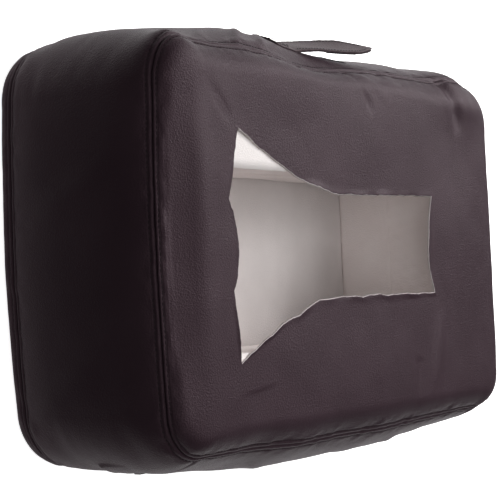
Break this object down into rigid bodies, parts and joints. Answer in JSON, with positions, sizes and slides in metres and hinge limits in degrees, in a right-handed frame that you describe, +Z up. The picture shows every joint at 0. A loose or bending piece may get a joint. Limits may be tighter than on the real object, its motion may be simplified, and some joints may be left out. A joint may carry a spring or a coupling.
{
  "type": "face cradle cushion",
  "caption": "Rectangular foam face cradle cushion in a sewn leather-look cover, with a trumpet-shaped face opening over a breathing chamber and a side strap.",
  "frame": {"origin": "middle of the underside, on the surface that the cushion lies on", "axes": "+Z up out of the face opening; +X from the opening's wide end to its narrow end; +Y towards the side with the strap"},
  "size_m": [0.49, 0.3294, 0.15],
  "materials": {
    "cover_leather": "fine pebble grain, soft sheen",
    "strap_leather": "fine pebble grain, soft sheen",
    "strap_lining": "fine pebble grain, matt",
    "foam": "fine open cells, matt",
    "thread": "bonded polyester thread",
    "zip_tape": "woven tape",
    "zip_teeth": "moulded",
    "zip_metal": "dark nickel",
    "hook_tape": "nylon hooks",
    "loop_tape": "napped loops"
  },
  "bodies": {
    "cushion": {"foam_base_layer": "foam", "foam_middle_layer": "foam", "foam_front_layer": "foam", "cover_front_panel": "cover_leather", "cover_back_panel": "cover_leather", "cover_boxing": "cover_leather", "cover_zip_band_upper": "cover_leather", "cover_zip_band_lower": "cover_leather", "front_seam_stitching": "thread", "back_seam_stitching": "thread", "zip_band_stitching": "thread", "zip_tape_upper": "zip_tape", "zip_tape_lower": "zip_tape", "zip_teeth_upper": "zip_teeth", "zip_teeth_lower": "zip_teeth", "zip_end_stops": "zip_metal", "strap_root_lining": "strap_lining", "strap_root_leather": "strap_leather", "strap_root_stitching": "thread", "strap_loop_patch": "loop_tape"},
    "strap": {"strap_leather": "strap_leather", "strap_lining": "strap_lining", "strap_stitching": "thread", "strap_hook_patch": "hook_tape"},
    "zip_slider": {"zip_slider": "zip_metal"},
    "zip_pull": {"zip_pull": "zip_metal"}
  },
  "joints": [
    {"name": "strap_fold", "type": "hinge", "parent": "cushion", "child": "strap", "pos_m": [-0.0357, 0.15802, 0.108], "axis": [0, -0.1313, 0.9913], "range_deg": [-3, 150], "stiffness_Nm_per_rad": 0.05},
    {"name": "zip_slide", "type": "slide", "parent": "cushion", "child": "zip_slider", "axis": [-1, 0, 0], "range_m": [0, 0.36]},
    {"name": "zip_pull_swing", "type": "hinge", "parent": "zip_slider", "child": "zip_pull", "pos_m": [0.181, -0.15825, 0.075], "axis": [0, 0, 1], "range_deg": [0, 175]}
  ]
}
